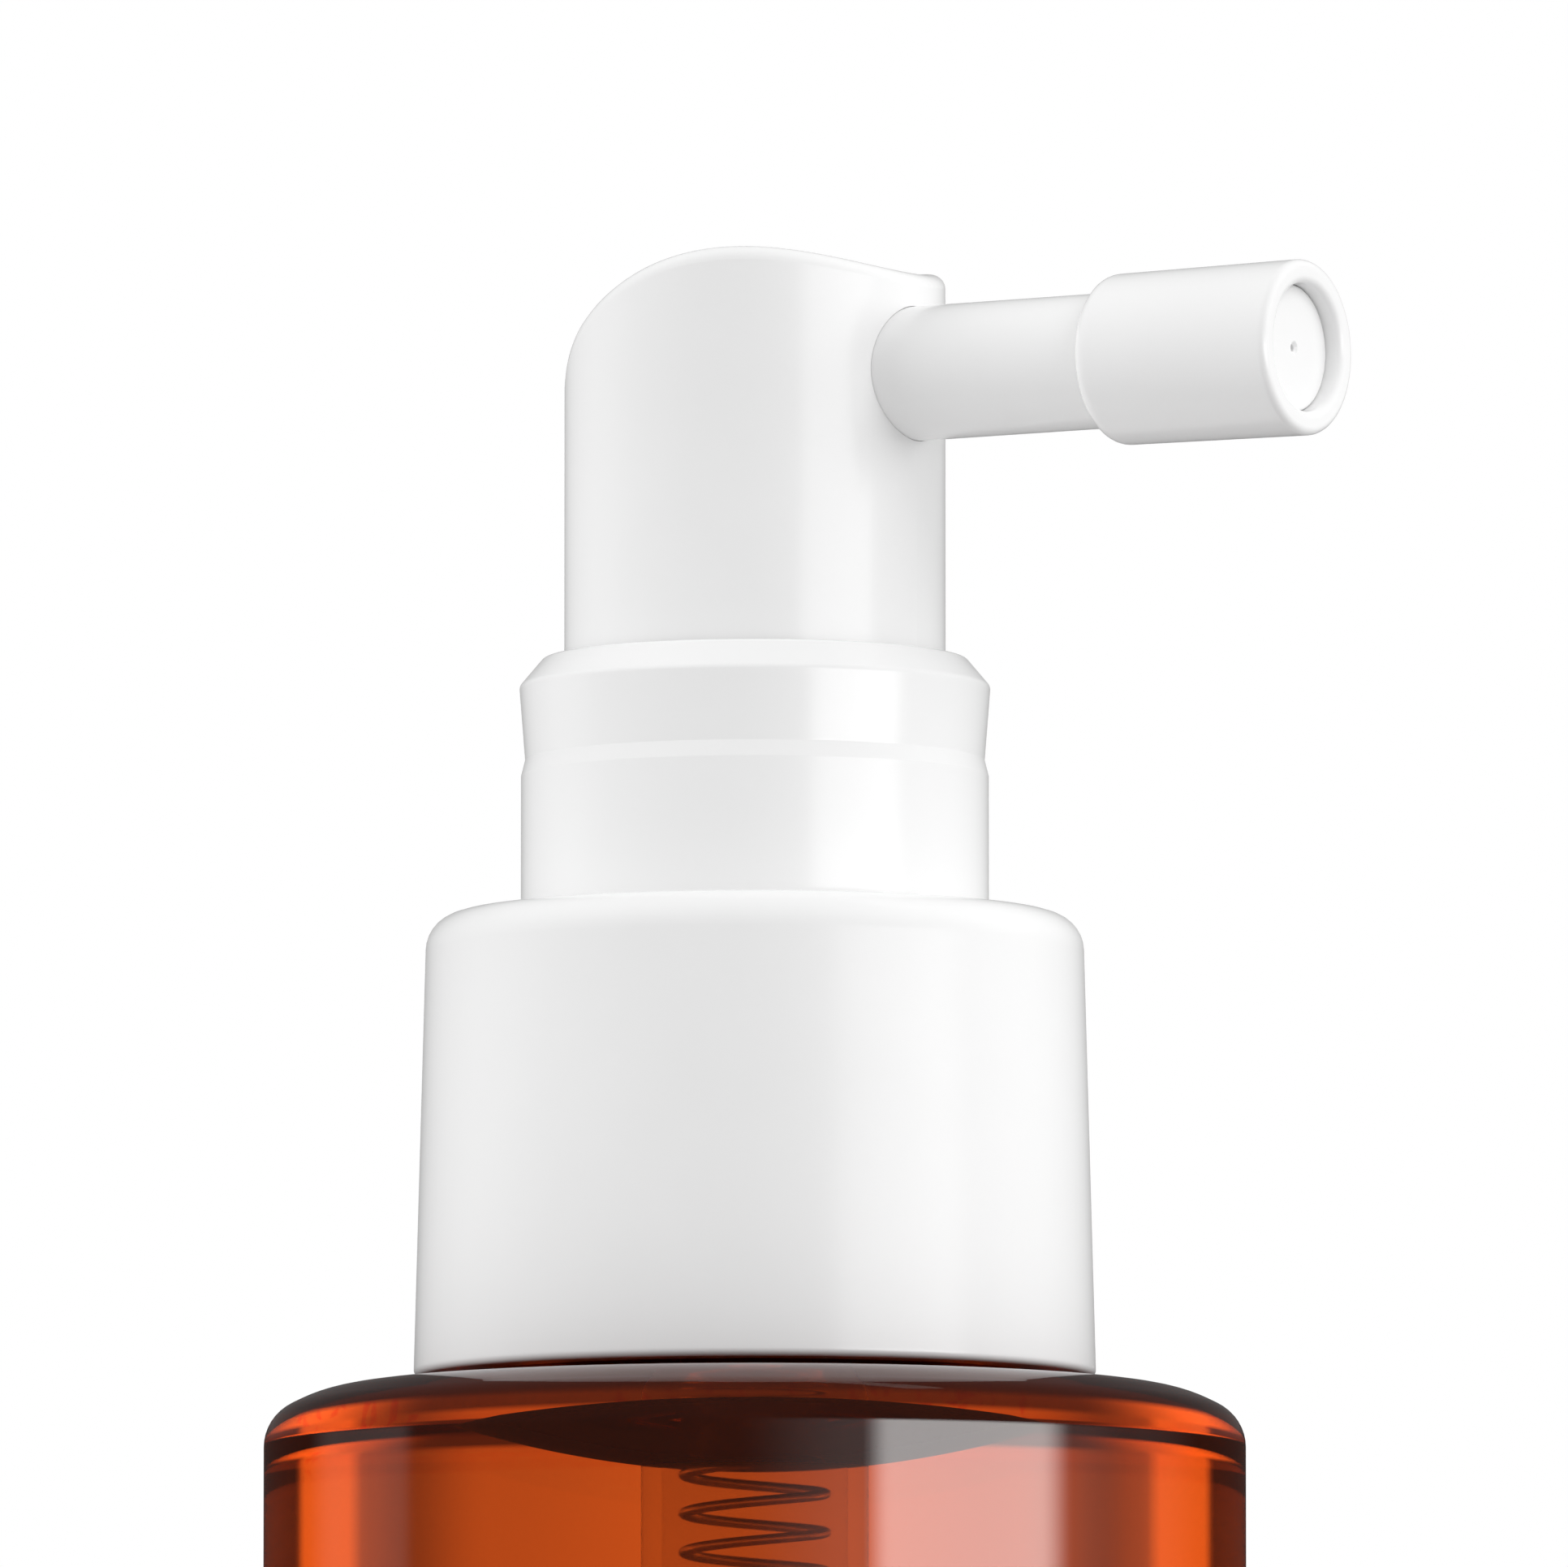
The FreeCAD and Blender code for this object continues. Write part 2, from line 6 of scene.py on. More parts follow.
import bpy
import numpy as np
from bpy.props import FloatProperty, FloatVectorProperty, PointerProperty
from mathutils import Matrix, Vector


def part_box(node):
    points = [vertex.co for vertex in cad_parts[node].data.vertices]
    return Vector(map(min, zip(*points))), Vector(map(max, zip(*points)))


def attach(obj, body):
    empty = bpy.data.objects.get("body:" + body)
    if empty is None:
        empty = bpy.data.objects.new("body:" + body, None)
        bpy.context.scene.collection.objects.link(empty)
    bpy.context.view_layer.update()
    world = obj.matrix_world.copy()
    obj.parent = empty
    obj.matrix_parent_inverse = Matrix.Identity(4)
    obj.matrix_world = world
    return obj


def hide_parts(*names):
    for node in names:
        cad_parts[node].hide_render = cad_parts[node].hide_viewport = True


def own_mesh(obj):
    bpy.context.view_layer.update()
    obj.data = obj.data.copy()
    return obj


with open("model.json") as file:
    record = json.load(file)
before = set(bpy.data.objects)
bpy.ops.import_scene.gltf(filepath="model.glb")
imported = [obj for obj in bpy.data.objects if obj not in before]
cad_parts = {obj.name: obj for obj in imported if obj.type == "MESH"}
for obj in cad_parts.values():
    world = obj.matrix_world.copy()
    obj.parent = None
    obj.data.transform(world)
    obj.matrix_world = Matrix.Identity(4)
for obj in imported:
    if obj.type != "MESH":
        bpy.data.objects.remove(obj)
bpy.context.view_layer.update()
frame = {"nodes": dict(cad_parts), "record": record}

bl_info = {
    "name": "Pump oil bottle",
    "version": (1, 0, 0),
    "blender": (4, 5, 0),
    "location": "View3D > Sidebar > Oil bottle",
    "description": "Builds the pieces, finishes and studio of an amber oil bottle with a finger pump",
    "category": "Add Mesh",
}

MM = 0.001

# How finely the surfaces are drawn
COLUMNS = 192
FINE_COLUMNS = 96
ARC_ROWS = 9
DOME_ROWS = 16
OIL_ROWS = 48
WIRE_STEPS = 48
WIRE_SIDES = 14
SUPPORT = 0.1 * MM
LEAST_ROUND = 0.04 * MM
COARSE = 4.0 * MM
FINE = 0.16 * MM
SAME_PLACE = 0.01 * MM
THREAD_FADE = 1 / 8

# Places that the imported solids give
BOTTLE_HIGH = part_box("bottle")[1]
COLLAR_LOW, COLLAR_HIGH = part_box("screw_collar")
SPRING_LOW, SPRING_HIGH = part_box("return_spring")
TUBE_LOW, TUBE_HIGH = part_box("nozzle_tube")
SLEEVE_LOW, SLEEVE_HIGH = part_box("nozzle_sleeve")
INSERT_LOW, INSERT_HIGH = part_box("swirl_insert")


def length(name, description, default):
    """Property for a length in metres."""
    return FloatProperty(name=name, description=description, default=default, unit="LENGTH", precision=5)


def share(name, description, default):
    """Property for a plain number between 0 and 1."""
    return FloatProperty(
        name=name, description=description, default=default, min=0, max=1, subtype="FACTOR")


def tint(name, description, default):
    """Property for a linear colour."""
    return FloatVectorProperty(
        name=name, description=description, default=default, min=0, max=1, subtype="COLOR")


def number(name, description, default):
    """Property for a plain number without a unit."""
    return FloatProperty(name=name, description=description, default=default)


def angle(name, description, degrees):
    """Property for an angle, given in degrees and kept in radians."""
    return FloatProperty(name=name, description=description, default=math.radians(degrees), subtype="ANGLE")


class BottleSizes(bpy.types.PropertyGroup):
    """Sizes of the glass, of its thread and of the oil in it."""

    wall: length("Wall", "Thickness of the body's glass", 1.65 * MM)
    shoulder_wall: length("Shoulder wall", "Thickness of the glass in the shoulder", 1.9 * MM)
    shoulder: length("Shoulder height", "Height of the flat shoulder above the foot", 105.55 * MM)
    slope_run: length("Slope run", "How far the shoulder's slope reaches inwards", 2.6 * MM)
    slope_drop: length("Slope drop", "How far the shoulder's slope falls", 1.25 * MM)
    crown_round: length("Crown round", "Radius between the slope and the flat shoulder", 5.8 * MM)
    corner_round: length("Corner round", "Radius between the body and the slope", 1.9 * MM)
    heel_round: length("Heel round", "Radius at the foot", 2.8 * MM)
    floor: length("Floor", "Thickness of the floor", 2.6 * MM)
    ring: length("Foot ring", "Width of the ring that the bottle stands on", 2.6 * MM)
    push_up: length("Push-up", "How far the floor is pushed up", 1.6 * MM)
    neck: length("Neck radius", "Radius of the neck without its thread", 10.75 * MM)
    neck_bore: length("Neck bore", "Radius of the hole through the neck", 8.5 * MM)
    neck_root: length("Neck root", "Radius where the neck meets the shoulder", 0.8 * MM)
    rim_round: length("Rim round", "Radius of the rim's edges", 0.45 * MM)
    thread_start: length("Thread start", "Height of the thread's start above the shoulder", 4.5 * MM)
    thread_turns: number("Thread turns", "Turns of the thread", 2.0)
    thread_pitch: length("Thread pitch", "Rise of the thread in one turn", 3.175 * MM)
    thread_height: length("Thread height", "How far a thread ridge stands out", 0.9 * MM)
    thread_width: length("Thread width", "Half width of a thread ridge", 0.55 * MM)
    # Painted shade: share of the dark painted colour that the crown's outer face takes
    crown_painted_shade: share("Crown shade", "How far the thick crown takes on the neck's deeper colour", 0.5)
    oil_level: length("Oil level", "Height of the oil's lowest point under the neck", 101.7 * MM)
    oil_climb: length("Oil climb", "How far the oil climbs to the neck's edge", 2.3 * MM)


class PumpSizes(bpy.types.PropertyGroup):
    """Sizes of the collar, the nozzle's pieces and the spring."""

    skirt_top: length("Skirt top", "Radius of the skirt at its deck", 13.53 * MM)
    skirt_bore: length("Skirt bore", "Radius inside the skirt", 12.2 * MM)
    deck: length("Deck height", "Height of the deck's upper face", 125.1 * MM)
    deck_wall: length("Deck wall", "Thickness of the deck", 1.4 * MM)
    deck_hole: length("Deck hole", "Radius of the hole in the deck", 6.6 * MM)
    deck_round: length("Deck edge", "Radius of the deck's outer edge", 1.5 * MM)
    guide: length("Guide radius", "Radius of the upright guide", 9.65 * MM)
    guide_bore: length("Guide bore", "Radius inside the guide", 8.12 * MM)
    guide_step: length("Guide step", "Height at which the guide steps in", 130.83 * MM)
    waist: length("Waist radius", "Radius above the step", 9.48 * MM)
    waist_height: length("Waist height", "Height at which the waist starts", 131.5 * MM)
    bead: length("Bead radius", "Radius of the bead under the lip", 9.72 * MM)
    bead_height: length("Bead height", "Height of the bead", 134.53 * MM)
    lip: length("Lip radius", "Radius of the lip at the guide's top", 8.73 * MM)
    edge_round: length("Edge round", "Radius of the small moulded edges", 0.3 * MM)
    tube_bore: length("Tube bore", "Radius inside the nozzle tube", 0.8 * MM)
    sleeve_rear: length("Sleeve rear", "Radius of the tip sleeve at its back", 3.5 * MM)
    sleeve_rear_round: length("Sleeve rear round", "Radius of the sleeve's back edge", 0.68 * MM)
    sleeve_tip_round: length("Sleeve tip round", "Radius of the sleeve's front edge", 0.32 * MM)
    fit: length("Press fit", "Gap of a press fit", 0.02 * MM)
    insert_wall: length("Insert wall", "Thickness of the insert's skirt", 1.0 * MM)
    insert_face: length("Insert face", "Thickness of the insert's face", 1.2 * MM)
    orifice: length("Orifice", "Radius of the spray hole", 0.15 * MM)
    orifice_cone: length("Orifice cone", "Radius of the cone round the spray hole", 0.28 * MM)
    wire: length("Spring wire", "Radius of the spring's wire", 0.21 * MM)
    spring_turns: number("Spring turns", "Turns of the spring's coil", 11.5)
    spring_close_turns: number("Close turns", "Close turns at each end of the spring", 1.0)
    spring_end_pitch: length("Spring end pitch", "Rise of the close turns at each end", 0.9 * MM)


class Finishes(bpy.types.PropertyGroup):
    """Colours and gloss of the pieces."""

    glass: tint("Glass", "Colour of the glass's surface", (0.95, 0.14, 0.013))
    # Painted shade: dark colour painted on the glass of the neck's dry bore, where the collar shades it
    glass_painted_shade: tint("Neck glass", "Colour of the glass in the neck's dry bore", (0.08, 0.018, 0.005))
    glass_clear: share("Glass clearness", "How much the glass lets through", 0.98)
    glass_depth: tint("Glass depth", "Colour that the glass keeps", (0.97, 0.5, 0.0))
    glass_density: number("Glass density", "How strongly the glass absorbs, per metre", 80.0)
    glass_index: number("Glass index", "How strongly the glass bends light", 1.5)
    oil: tint("Oil", "Colour of the oil's surface", (1.0, 0.93, 0.78))
    oil_clear: share("Oil clearness", "How much the oil lets through", 1.0)
    # Painted shade: near-black colour and low clearness painted on the oil's top, which lies in the shaded
    # neck
    oil_top_painted_shade: tint("Oil top", "Colour of the oil's surface in the dark neck", (0.02, 0.006, 0.002))
    oil_top_painted_shade_clear: share("Oil top clearness", "How much the oil's surface in the neck lets through", 0.1)
    oil_depth: tint("Oil depth", "Colour that the oil keeps", (0.98, 0.7, 0.25))
    oil_density: number("Oil density", "How strongly the oil absorbs, per metre", 12.0)
    oil_index: number("Oil index", "How strongly the oil bends light", 1.47)
    white: tint("White plastic", "Colour of the moulded white plastic", (0.88, 0.88, 0.88))
    white_roughness: share("White roughness", "How matt the white plastic is", 0.2)
    plastic_index: number("Plastic index", "How strongly the moulded plastic bends light", 1.49)
    plastic_shine: share("Plastic shine", "Level of the moulded plastic's reflections", 0.3)
    natural: tint("Natural plastic", "Colour of the undyed plastic", (0.9, 0.88, 0.84))
    natural_clear: share("Natural clearness", "How much the undyed plastic lets through", 0.93)
    natural_roughness: share("Natural roughness", "How matt the undyed plastic is", 0.35)
    natural_index: number("Natural index", "How strongly undyed plastic bends light in oil", 1.02)
    seal: tint("Seal", "Colour of the soft seals", (0.7, 0.69, 0.66))
    seal_roughness: share("Seal roughness", "How matt the soft seals are", 0.55)
    steel: tint("Steel", "Colour of the spring's wire and of the ball", (0.85, 0.83, 0.8))
    wire_roughness: share("Wire roughness", "How matt the drawn wire is", 0.4)
    ball_roughness: share("Ball roughness", "How matt the polished ball is", 0.08)


class Studio(bpy.types.PropertyGroup):
    """Camera, floor, lamps and what gloss and glass see round them.

    Steepness is a ray's rise over its length.
    """

    azimuth: angle("Azimuth", "Heading of the camera round the bottle", 32.0)
    distance: length("Distance", "How far the camera stands from the bottle's axis", 900 * MM)
    eye_height: length("Eye height", "Height of the camera above the floor", 48 * MM)
    aim_height: length("Aim height", "Height that the camera looks at", 130.55 * MM)
    aim_right: length("Aim right", "How far right of the axis the camera stands and looks", 1.2 * MM)
    lens: FloatProperty(
        name="Lens", description="Focal length of the camera in millimetres", default=503.0, unit="CAMERA")
    clip_start: length("Clip start", "Nearest distance that the camera sees", 10 * MM)
    floor: tint("Floor", "Colour of the studio floor", (0.62, 0.62, 0.62))
    floor_roughness: share("Floor roughness", "How matt the floor is", 0.7)
    floor_reach: length("Floor reach", "How far the floor reaches to each side", 6.0)
    floor_gap: length("Floor gap", "How far the floor lies under the foot", 0.02 * MM)
    key_strength: number("Key strength", "Strength of the lamp on the camera's right", 0.95)
    fill_strength: number("Fill strength", "Strength of the lamp on the left", 1.35)
    rim_strength: number("Rim strength", "Strength of the lamp on the far right", 1.0)
    lamp_spread: angle("Lamp spread", "How wide each lamp looks from the bottle", 40.0)
    world_level: share("World level", "Soft light from all round", 0.81)
    level_reach: share("Level reach", "Steepness up to which rays see the level studio", 0.068)
    steep_reach: share("Steep reach", "Steepness from which rays see the ceiling or the low studio", 0.14)
    gloss_ceiling: share("Gloss ceiling", "What gloss sees above and far below", 0.12)
    gloss_low: share("Gloss low", "Downward steepness at which gloss starts to fade", 0.05)
    plunge_start: share("Plunge start", "Downward steepness at which rays in glass start to go dark", 0.3)
    plunge_end: share("Plunge end", "Downward steepness at which rays in glass are dark", 0.42)
    glass_ceiling: share("Glass ceiling", "What rays through the glass see above", 0.6)
    glass_floor: share("Glass floor", "What plunging rays through the glass see", 0.05)


class OilBottle(bpy.types.PropertyGroup):
    """All that a user would change."""

    bottle: PointerProperty(name="Bottle", description="Sizes of the glass and the oil", type=BottleSizes)
    pump: PointerProperty(name="Pump", description="Sizes of the pump's pieces", type=PumpSizes)
    finish: PointerProperty(name="Finishes", description="Colours and gloss of the pieces", type=Finishes)
    studio: PointerProperty(name="Studio", description="Camera, floor, lamps and surroundings", type=Studio)


# Shapes

def rounded_outline(corners, closed=True):
    """Profile of straight stretches joined by tangent arcs.

    Each corner is (radius, height, round, spacing of the rows on the stretch after it). An arc runs between
    the points that lie round / tan(half the corner's angle) away on both sides, turned about the centre
    between them. Rows close to the arcs keep the straight stretches flat under smooth shading. A profile
    that isn't closed starts and ends in the middle of its first and last arcs.
    """
    places = np.array([corner[:2] for corner in corners])
    rounds = np.array([corner[2] for corner in corners])
    back = np.roll(places, 1, 0) - places
    ahead = np.roll(places, -1, 0) - places
    back = back / np.linalg.norm(back, axis=1, keepdims=True)
    ahead = ahead / np.linalg.norm(ahead, axis=1, keepdims=True)
    half = np.arccos(np.clip((back * ahead).sum(1), -1, 1)) / 2
    rounds = np.maximum(rounds, LEAST_ROUND)
    cut = rounds / np.tan(half)
    middle = (back + ahead) / np.linalg.norm(back + ahead, axis=1, keepdims=True)
    centres = places + middle * (rounds / np.sin(half))[:, None]
    starts = places + back * cut[:, None] - centres
    ends = places + ahead * cut[:, None] - centres
    swing = math.pi - 2 * half
    rows = []
    for index, corner in enumerate(corners):
        step = np.linspace(0, 1, ARC_ROWS)[:, None]
        sweep = swing[index]
        arc = starts[index] * np.sin((1 - step) * sweep) + ends[index] * np.sin(step * sweep)
        rows.append(centres[index] + arc / np.sin(sweep))
        following = (index + 1) % len(corners)
        leave = centres[index] + ends[index]
        reach = centres[following] + starts[following] - leave
        span = np.linalg.norm(reach)
        margin = min(SUPPORT, span / 4)
        count = max(2, int((span - 2 * margin) / corner[3]) + 2)
        along = np.linspace(margin, span - margin, count)[:, None] / span
        rows.append(leave + reach * along)
    if not closed:
        rows = [rows[0][ARC_ROWS // 2:], *rows[1:-2], rows[-2][:ARC_ROWS // 2]]
    return np.concatenate(rows)


def turned(outline, columns):
    """Grid of points: each row of the outline, a radius and a height, carried round the Z axis."""
    around = np.linspace(0, 2 * math.pi, columns, endpoint=False)
    radius, height = outline[:, :1], outline[:, 1:]
    return np.stack([radius * np.cos(around), radius * np.sin(around), height + 0 * around], -1)


def laid_along_x(points, height):
    """The grid laid over so that its Z axis runs along +X at the given height."""
    return np.stack([points[..., 2], points[..., 1], height - points[..., 0]], -1)


def thread_ridge(points, sizes, foot):
    """Share of a thread ridge at each point, on the helix height = foot + pitch x turns.

    The bell of the ridge is exp(-share^4), where share is the distance to the nearest turn of the helix over
    the ridge's half width. Both ends fade over an eighth turn.
    """
    around = np.arctan2(points[..., 1], points[..., 0]) / (2 * math.pi) % 1
    level = (points[..., 2] - foot) / sizes.thread_pitch - around
    nearest = np.round(level)
    bell = np.exp(-((level - nearest) * sizes.thread_pitch / sizes.thread_width) ** 4)
    run = nearest + around
    fade = np.clip(run / THREAD_FADE, 0, 1) * np.clip((sizes.thread_turns - run) / THREAD_FADE, 0, 1)
    return bell * fade


def spring_coil(sizes):
    """Middle line of the spring's wire, and the outward direction at each of its points.

    Each end has close turns that rise by the end pitch. After them the pitch grows over one turn to that of
    the open coil. The height from an end is end pitch x turns + growth x ramp, where ramp is half the square
    of the turns past the close ones, and from one turn past them on those turns less a half.
    """
    turns, end_pitch = sizes.spring_turns, sizes.spring_end_pitch
    rise = SPRING_HIGH.z - SPRING_LOW.z - 2 * sizes.wire
    turn = np.linspace(0, turns, int(turns * WIRE_STEPS) + 1)
    from_end = np.minimum(turn, turns - turn)
    opened = np.clip(from_end - sizes.spring_close_turns, 0, None)
    ramp = np.where(opened <= 1, opened ** 2 / 2, opened - 1 / 2)
    growth = (rise - end_pitch * turns) / (turns - 2 * sizes.spring_close_turns - 1)
    climb = end_pitch * from_end + growth * ramp
    height = np.where(turn <= turns / 2, climb, rise - climb)
    around = 2 * math.pi * turn
    outward = np.stack([np.cos(around), np.sin(around), 0 * around], -1)
    line = outward * (SPRING_HIGH.x - sizes.wire)
    line[:, 2] = SPRING_LOW.z + sizes.wire + height
    return line, outward


def surface(name, points, ring=True, ends=False):
    """Mesh object of a grid of points, each cell one quad, closed round its columns.

    With ring the last row joins the first. With ends each end row is closed by a fan to its middle. The
    faces are turned round when the volume that they enclose comes out below zero.
    """
    rows, columns = points.shape[:2]
    index = np.arange(rows * columns).reshape(rows, columns)
    low = index if ring else index[:-1]
    high = np.roll(index, -1, 0) if ring else index[1:]
    quads = np.stack([low, np.roll(low, -1, 1), np.roll(high, -1, 1), high], -1).reshape(-1, 4)
    places = points.reshape(-1, 3)
    fans = np.zeros((0, 3), int)
    if ends:
        first, last = index[0], index[-1]
        middles = np.stack([points[0].mean(0), points[-1].mean(0)])
        tips = np.full_like(first, len(places))
        fans = np.concatenate([
            np.stack([np.roll(first, -1), first, tips], -1),
            np.stack([last, np.roll(last, -1), tips + 1], -1),
        ])
        places = np.concatenate([places, middles])
    triangles = np.concatenate([quads[:, [0, 1, 2]], quads[:, [0, 2, 3]], fans])
    one, two, three = (places[triangles[:, side]] for side in range(3))
    if (one * np.cross(two, three)).sum() < 0:
        quads, fans = quads[:, ::-1], fans[:, ::-1]
    corners = np.concatenate([quads.ravel(), fans.ravel()])
    starts = np.concatenate([np.arange(len(quads)) * 4, len(quads) * 4 + np.arange(len(fans)) * 3])
    mesh = bpy.data.meshes.new(name)
    mesh.vertices.add(len(places))
    mesh.vertices.foreach_set("co", places.astype(np.float32).ravel())
    mesh.loops.add(len(corners))
    mesh.loops.foreach_set("vertex_index", corners.astype(np.int32))
    mesh.polygons.add(len(starts))
    mesh.polygons.foreach_set("loop_start", starts.astype(np.int32))
    mesh.polygons.foreach_set("use_smooth", np.ones(len(starts), bool))
    mesh.update(calc_edges=True)
    if mesh.validate():
        raise RuntimeError(name + " has broken faces")
    piece = bpy.data.objects.new(name, mesh)
    bpy.context.scene.collection.objects.link(piece)
    return piece


def settle(piece, node, slot):
    """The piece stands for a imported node, rides on that node's body and takes its finish."""
    piece.data.materials.append(finish_of(slot))
    body = next(name for name, nodes in frame["record"]["behaviour"]["bodies"].items() if node in nodes)
    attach(piece, body)
    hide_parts(node)


def mark(piece, name, values):
    """A mesh attribute that gives each of the piece's points a value from 0 to 1."""
    attribute = piece.data.attributes.new(name, "FLOAT", "POINT")
    attribute.data.foreach_set("value", values.astype(np.float32))


def glass_outlines(sizes):
    """Profile of the glass in three stretches: under the floor, round the wall and over the floor.

    The pushed-up floor is part of a ball through the foot ring's inside, with radius
    (inside^2 + push-up^2) / (2 x push-up). Its upper face is part of a ball about the same centre, larger by
    the floor's thickness.
    """
    radius = BOTTLE_HIGH.x
    inner = radius - sizes.wall
    rim = BOTTLE_HIGH.z
    ceiling = sizes.shoulder - sizes.shoulder_wall
    ring_inside = radius - sizes.heel_round - sizes.ring
    dome = (ring_inside ** 2 + sizes.push_up ** 2) / (2 * sizes.push_up)
    centre = sizes.push_up - dome
    floor_edge = math.sqrt((dome + sizes.floor) ** 2 - (sizes.floor - centre) ** 2)
    wall = rounded_outline([
        (ring_inside, 0, 0, COARSE),
        (radius, 0, sizes.heel_round, COARSE),
        (radius, sizes.shoulder - sizes.slope_drop, sizes.corner_round, COARSE),
        (radius - sizes.slope_run, sizes.shoulder, sizes.crown_round, COARSE),
        (sizes.neck, sizes.shoulder, sizes.neck_root, FINE),
        (sizes.neck, rim, sizes.rim_round, COARSE),
        (sizes.neck_bore, rim, sizes.rim_round, COARSE),
        (sizes.neck_bore, ceiling, sizes.neck_root, COARSE),
        (inner - sizes.slope_run, ceiling, sizes.crown_round, COARSE),
        (inner, ceiling - sizes.slope_drop, sizes.corner_round, COARSE),
        (inner, sizes.floor, sizes.heel_round, COARSE),
        (floor_edge, sizes.floor, 0, COARSE),
    ], closed=False)
    under = np.linspace(ring_inside / DOME_ROWS, ring_inside, DOME_ROWS)[:-1, None]
    over = np.linspace(floor_edge, floor_edge / DOME_ROWS, DOME_ROWS)[1:, None]
    under = np.concatenate([under, centre + np.sqrt(dome ** 2 - under ** 2)], 1)
    over = np.concatenate([over, centre + np.sqrt((dome + sizes.floor) ** 2 - over ** 2)], 1)
    return under, wall, over


def oil_outlines(sizes):
    """Profile of the oil in two stretches: its top from the axis outwards, and its skin along the glass.

    The top sags in the middle: height = level + climb x (radius / edge)^2, where edge is the radius at which
    it meets the glass. Its rows crowd towards the edge, at edge x (1 - step^2).
    """
    under, wall, over = glass_outlines(sizes)
    inside = np.concatenate([wall[np.argmax(wall[:, 1]) + 1:], over])
    skin = inside[inside[:, 1] < sizes.oil_level + sizes.oil_climb]
    edge = skin[0, 0]
    step = np.linspace(1, 0, OIL_ROWS)[1:-1]
    radius = edge * (1 - step ** 2)
    top = np.stack([radius, sizes.oil_level + sizes.oil_climb * (radius / edge) ** 2], -1)
    return top, skin


# Finishes

# Faint clouds of colour: waves per metre, and how far they stray from the colour
CLEAR_CLOUDS = (60.0, 0.02)
MOULDED_CLOUDS = (90.0, 0.012)
NATURAL_CLOUDS = (140.0, 0.02)
METAL_CLOUDS = (700.0, 0.08)
FLOOR_CLOUDS = (2.0, 0.01)
CLOUD_DETAIL = 3.0
CLOUD_EDGES = (0.3, 0.7)

# Fine grain: waves per metre and depth
MOULDED_GRAIN = (1800.0, 0.004 * MM)
METAL_GRAIN = (4000.0, 0.003 * MM)
GRAIN_STRENGTH = 0.3

# Sockets of the Mix node that carry colours
MIX_FIRST, MIX_SECOND, MIX_RESULT = 6, 7, 2


def material_nodes(name):
    """New material with an empty node tree, its output node and a principled shader."""
    material = bpy.data.materials.new(name)
    material.use_nodes = True
    tree = material.node_tree
    tree.nodes.clear()
    output = tree.nodes.new("ShaderNodeOutputMaterial")
    shader = tree.nodes.new("ShaderNodeBsdfPrincipled")
    tree.links.new(shader.outputs["BSDF"], output.inputs["Surface"])
    return material, tree, shader, output


def cloudy(tree, colour, clouds):
    """The colour with faint clouds a little darker and lighter: noise on the piece's own coordinates."""
    waves, stray = clouds
    place = tree.nodes.new("ShaderNodeTexCoord")
    noise = tree.nodes.new("ShaderNodeTexNoise")
    noise.inputs["Scale"].default_value = waves
    noise.inputs["Detail"].default_value = CLOUD_DETAIL
    ramp = tree.nodes.new("ShaderNodeValToRGB")
    levels = (1 - stray, 1 + stray)
    for element, edge, level in zip(ramp.color_ramp.elements, CLOUD_EDGES, levels):
        element.position = edge
        element.color = (*np.clip(np.array(colour) * level, 0, 1), 1)
    tree.links.new(place.outputs["Object"], noise.inputs["Vector"])
    tree.links.new(noise.outputs["Fac"], ramp.inputs["Fac"])
    return ramp.outputs["Color"]


def fine_grain(tree, shader, grain):
    """Very fine unevenness of a moulded or drawn surface, as a bump."""
    waves, depth = grain
    place = tree.nodes.new("ShaderNodeTexCoord")
    noise = tree.nodes.new("ShaderNodeTexNoise")
    noise.inputs["Scale"].default_value = waves
    bump = tree.nodes.new("ShaderNodeBump")
    bump.inputs["Strength"].default_value = GRAIN_STRENGTH
    bump.inputs["Distance"].default_value = depth
    tree.links.new(place.outputs["Object"], noise.inputs["Vector"])
    tree.links.new(noise.outputs["Fac"], bump.inputs["Height"])
    tree.links.new(bump.outputs["Normal"], shader.inputs["Normal"])


def marked(tree, name):
    """Value of one of the piece's mesh attributes."""
    attribute = tree.nodes.new("ShaderNodeAttribute")
    attribute.attribute_name = name
    return attribute.outputs["Fac"]


def painted_shade_mix(tree, colour, painted_shade_colour):
    """The colour, fading into a colour of painted shade as the piece's mesh attribute of painted shade goes
    from 0 to 1.
    """
    mix = tree.nodes.new("ShaderNodeMix")
    mix.data_type = "RGBA"
    tree.links.new(marked(tree, "painted_shade"), mix.inputs["Factor"])
    tree.links.new(colour, mix.inputs[MIX_FIRST])
    mix.inputs[MIX_SECOND].default_value = (*painted_shade_colour, 1)
    return mix.outputs[MIX_RESULT]


def feed(tree, socket, value):
    """A plain number is set on the socket, and the output of a node is linked to it."""
    if isinstance(value, float):
        socket.default_value = value
    else:
        tree.links.new(value, socket)


def worked_out(tree, operation, *values):
    """Result of one sum. Each value may be a plain number or the output of a node."""
    node = tree.nodes.new("ShaderNodeMath")
    node.operation = operation
    for socket, value in zip(node.inputs, values):
        feed(tree, socket, value)
    return node.outputs["Value"]


def blend(tree, factor, first, second):
    """Number between two others by a factor. Each may be a plain number or the output of a node."""
    mix = tree.nodes.new("ShaderNodeMix")
    for socket, value in (("Factor", factor), ("A", first), ("B", second)):
        feed(tree, mix.inputs[socket], value)
    return mix.outputs["Result"]


def between(tree, value, start, end):
    """Share of the way from a start to an end, kept between 0 and 1."""
    way = tree.nodes.new("ShaderNodeMapRange")
    way.inputs["From Min"].default_value = start
    way.inputs["From Max"].default_value = end
    tree.links.new(value, way.inputs["Value"])
    return way.outputs["Result"]


